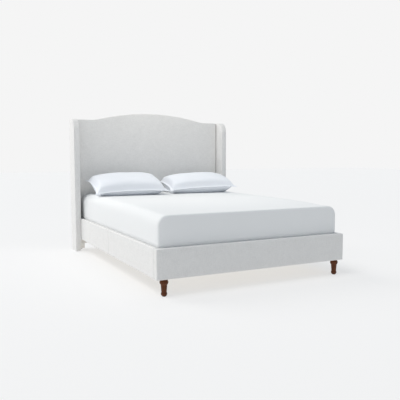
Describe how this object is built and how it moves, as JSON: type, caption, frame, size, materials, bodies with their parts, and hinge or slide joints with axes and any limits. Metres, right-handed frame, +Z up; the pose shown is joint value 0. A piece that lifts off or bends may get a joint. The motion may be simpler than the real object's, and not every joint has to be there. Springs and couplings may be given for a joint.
{
  "type": "upholstered winged bed",
  "caption": "Upholstered queen bed with a camelback headboard between two wings, low padded rails, turned front legs, a sheeted mattress and pillows.",
  "frame": {"origin": "on the floor, under the centre of the bed's overall width and length", "axes": "+X to the right seen from the foot, +Y towards the headboard, +Z up"},
  "size_m": [1.7, 2.161, 1.3898],
  "materials": {
    "upholstery_fabric": "matte",
    "foam_pad": "matte",
    "dust_cloth": "matte",
    "sheet_cotton": "matte",
    "pillowcase_cotton": "matte",
    "pillow_filling": "matte",
    "mattress_foam": "matte",
    "turned_leg_wood": "satin",
    "webbing": "matte",
    "glide_plastic": "matte",
    "leveller_plastic": "matte",
    "bolt_steel": "satin",
    "bracket_steel": "satin",
    "slat_wood": "matte",
    "frame_timber": "matte"
  },
  "bodies": {
    "bed_frame": {"beam_hangers": "bracket_steel", "centre_beam_foot": "frame_timber", "centre_beam_head": "frame_timber", "centre_leg_foot": "frame_timber", "centre_leg_head": "frame_timber", "corner_brackets": "bracket_steel", "floor_glides": "glide_plastic", "foot_rail_core": "frame_timber", "foot_rail_cover": "upholstery_fabric", "headboard_back_cloth": "dust_cloth", "headboard_bolts": "bolt_steel", "headboard_cover": "upholstery_fabric", "headboard_cross_rails": "frame_timber", "headboard_foam": "foam_pad", "headboard_left_post": "frame_timber", "headboard_panel": "frame_timber", "headboard_right_post": "frame_timber", "joining_plates": "bracket_steel", "left_front_leg": "turned_leg_wood", "left_rail_foot_core": "frame_timber", "left_rail_foot_cover": "upholstery_fabric", "left_rail_head_core": "frame_timber", "left_rail_head_cover": "upholstery_fabric", "left_slat_ledgers": "frame_timber", "left_wing_board": "frame_timber", "left_wing_cover": "upholstery_fabric", "left_wing_foam": "foam_pad", "leg_hanger_bolts": "bolt_steel", "rail_bolts": "bolt_steel", "right_front_leg": "turned_leg_wood", "right_rail_foot_core": "frame_timber", "right_rail_foot_cover": "upholstery_fabric", "right_rail_head_core": "frame_timber", "right_rail_head_cover": "upholstery_fabric", "right_slat_ledgers": "frame_timber", "right_wing_board": "frame_timber", "right_wing_cover": "upholstery_fabric", "right_wing_foam": "foam_pad", "slat_01": "slat_wood", "slat_02": "slat_wood", "slat_03": "slat_wood", "slat_04": "slat_wood", "slat_05": "slat_wood", "slat_06": "slat_wood", "slat_07": "slat_wood", "slat_08": "slat_wood", "slat_09": "slat_wood", "slat_10": "slat_wood", "slat_11": "slat_wood", "slat_12": "slat_wood", "slat_straps": "webbing", "wing_bolts": "bolt_steel"},
    "mattress_and_sheet": {"mattress": "mattress_foam", "fitted_sheet": "sheet_cotton"},
    "left_pillow_in_case": {"left_pillow": "pillow_filling", "left_pillowcase": "pillowcase_cotton"},
    "right_pillow_in_case": {"right_pillow": "pillow_filling", "right_pillowcase": "pillowcase_cotton"},
    "foot_leveller": {"levelling_foot_foot": "leveller_plastic"},
    "head_leveller": {"levelling_foot_head": "leveller_plastic"}
  },
  "joints": [
    {"name": "mattress_lift", "type": "slide", "parent": "bed_frame", "child": "mattress_and_sheet", "axis": [0, 0, 1], "range_m": [0, 0.4]},
    {"name": "left_pillow_lift", "type": "slide", "parent": "mattress_and_sheet", "child": "left_pillow_in_case", "axis": [0, 0, 1], "range_m": [0, 0.3]},
    {"name": "right_pillow_lift", "type": "slide", "parent": "mattress_and_sheet", "child": "right_pillow_in_case", "axis": [0, 0, 1], "range_m": [0, 0.3]},
    {"name": "foot_leveller_travel", "type": "slide", "parent": "bed_frame", "child": "foot_leveller", "axis": [0, 0, -1], "range_m": [0, 0.015]},
    {"name": "head_leveller_travel", "type": "slide", "parent": "bed_frame", "child": "head_leveller", "axis": [0, 0, -1], "range_m": [0, 0.015]}
  ]
}
